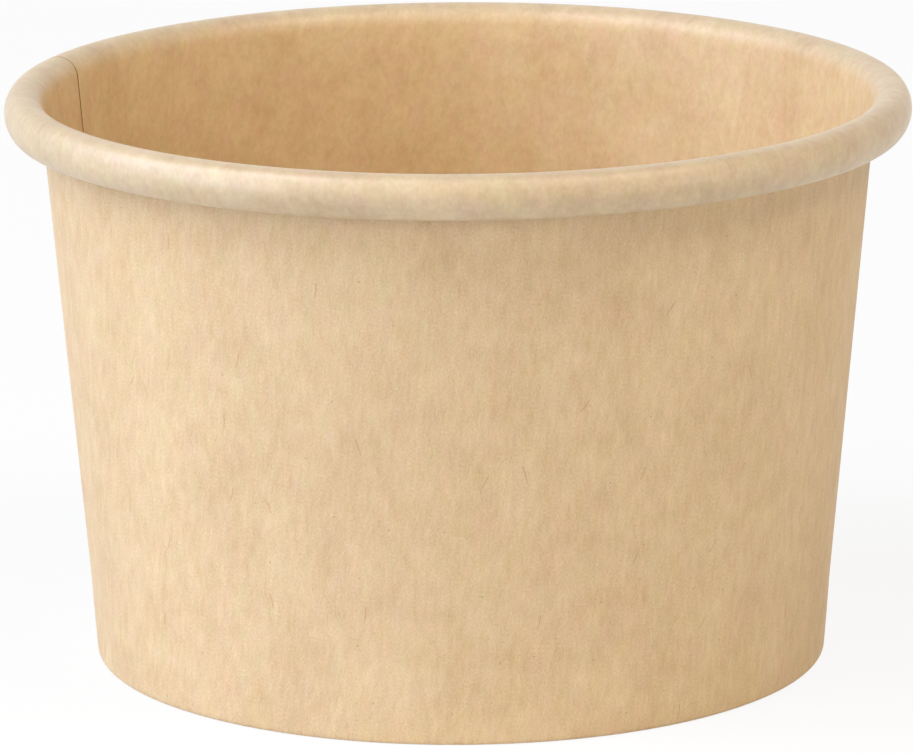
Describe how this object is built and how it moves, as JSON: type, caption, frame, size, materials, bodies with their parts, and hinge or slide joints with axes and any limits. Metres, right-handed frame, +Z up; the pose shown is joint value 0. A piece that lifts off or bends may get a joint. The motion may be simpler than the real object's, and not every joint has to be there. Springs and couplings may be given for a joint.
{
  "type": "portion cup",
  "caption": "Round paperboard portion cup with tapered side wall, lapped side seam, rolled rim and a recessed bottom disc held in a folded hem.",
  "frame": {"origin": "centre of the circle that the cup's foot stands on, at table level", "axes": "+Z up along the cup's axis, towards the rim; -Y is the front, away from the side seam; +X to the right seen from the front"},
  "size_m": [0.09, 0.09, 0.0575],
  "materials": {
    "wall_board": "coated unbleached kraft board, satin, knurled at the foot",
    "disc_board": "coated unbleached kraft board, satin"
  },
  "bodies": {
    "root": {"side_wall": "wall_board", "base_disc": "disc_board"}
  },
  "joints": []
}
